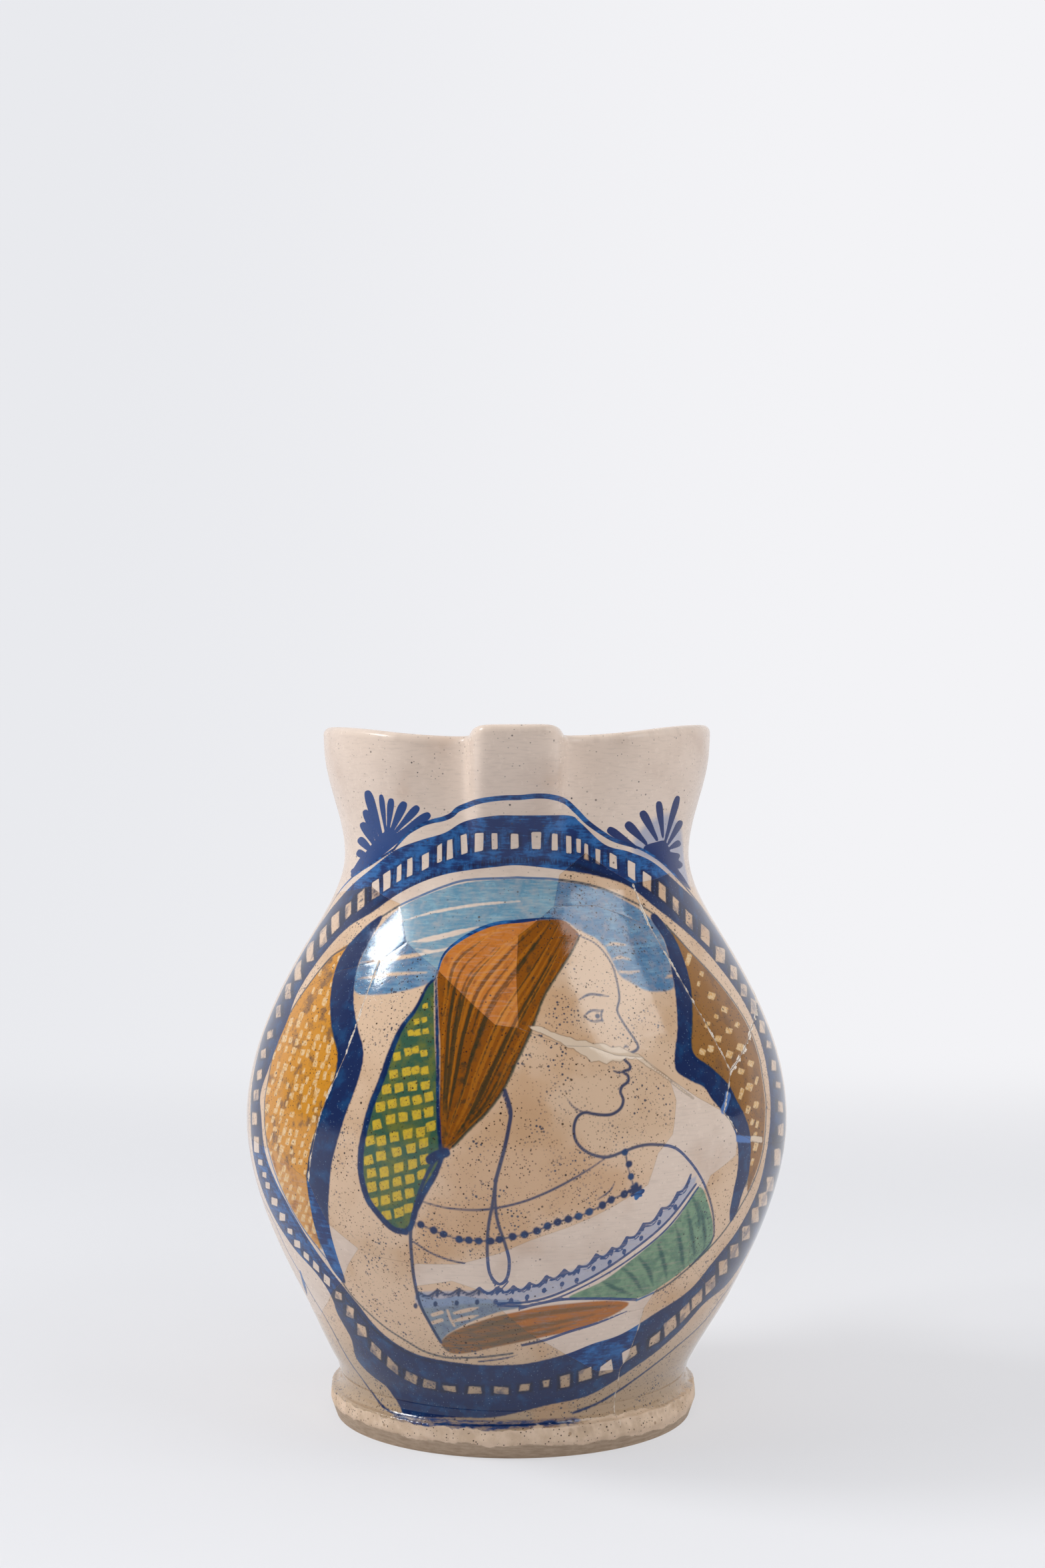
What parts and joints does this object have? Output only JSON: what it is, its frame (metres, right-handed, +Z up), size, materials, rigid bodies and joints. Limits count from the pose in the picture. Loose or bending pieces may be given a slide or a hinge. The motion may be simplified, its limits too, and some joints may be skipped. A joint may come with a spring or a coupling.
{
  "type": "maiolica jug",
  "caption": "Tin-glazed earthenware jug with a trefoil mouth, strap handle and flared foot, mended from sherds and plaster fills.",
  "frame": {"origin": "where the body's axis meets the foot's flat underside", "axes": "+Z up the jug's axis, -Y to the spout, +Y to the handle, +X to the viewer's right"},
  "size_m": [0.1884, 0.2248, 0.2398],
  "materials": {
    "tin_glaze": "glossy tin glaze painted in cobalt, ochre, yellow and green",
    "painted_plaster": "smooth toned plaster under a satin varnish, painted to match",
    "bare_clay": "worn foot, glazed above and bare chipped earthenware at the edge and underside"
  },
  "bodies": {
    "root": {"left_shoulder_sherd": "tin_glaze", "left_panel_sherd": "tin_glaze", "portrait_sherd": "tin_glaze", "border_sherd": "tin_glaze", "brow_sherd": "tin_glaze", "right_shoulder_sherd": "tin_glaze", "right_panel_sherd": "tin_glaze", "right_belly_sherd": "tin_glaze", "lower_left_sherd": "tin_glaze", "lower_right_sherd": "tin_glaze", "back_sherd": "tin_glaze", "handle": "tin_glaze", "neck_fill": "painted_plaster", "left_fill": "painted_plaster", "chest_fill": "painted_plaster", "hem_fill": "painted_plaster", "foot": "bare_clay"}
  },
  "joints": []
}
